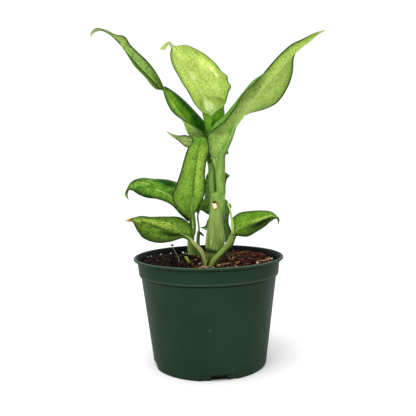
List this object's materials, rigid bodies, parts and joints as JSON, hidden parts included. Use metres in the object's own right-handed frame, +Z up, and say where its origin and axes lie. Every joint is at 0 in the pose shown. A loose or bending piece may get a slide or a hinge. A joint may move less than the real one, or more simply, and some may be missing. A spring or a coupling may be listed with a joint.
{
  "type": "potted dieffenbachia",
  "caption": "Young dieffenbachia with lance-shaped waved leaves on a sheathed main stem and side shoots, standing in potting mix in a round nursery pot with a stepped collar and bottom notches.",
  "frame": {"origin": "centre of the underside of the pot, on the pot's axis", "axes": "+Z up along the pot's axis; the pictured front of the plant looks along -Y, and +X is to its right in the picture"},
  "size_m": [0.2452, 0.165, 0.3671],
  "materials": {
    "pot_plastic": "dark green, satin",
    "potting_mix": "dark brown crumbs of peat and bark, matt",
    "stem": "pale green, satin",
    "leaf": "mid green with fine dark specks, satin",
    "young_leaf": "pale yellow-green with dark green margin, satin"
  },
  "bodies": {
    "root": {"pot": "pot_plastic", "potting_mix": "potting_mix", "main_stem": "stem", "left_stem": "stem", "small_stem": "stem", "seedling": "stem", "leaf_upper_left": "leaf", "leaf_centre": "young_leaf", "leaf_right": "leaf", "leaf_front": "young_leaf", "leaf_middle_left": "leaf", "leaf_lower_left": "leaf", "leaf_lower_right": "leaf", "leaf_back": "leaf", "leaf_behind_stem": "leaf"}
  },
  "joints": []
}
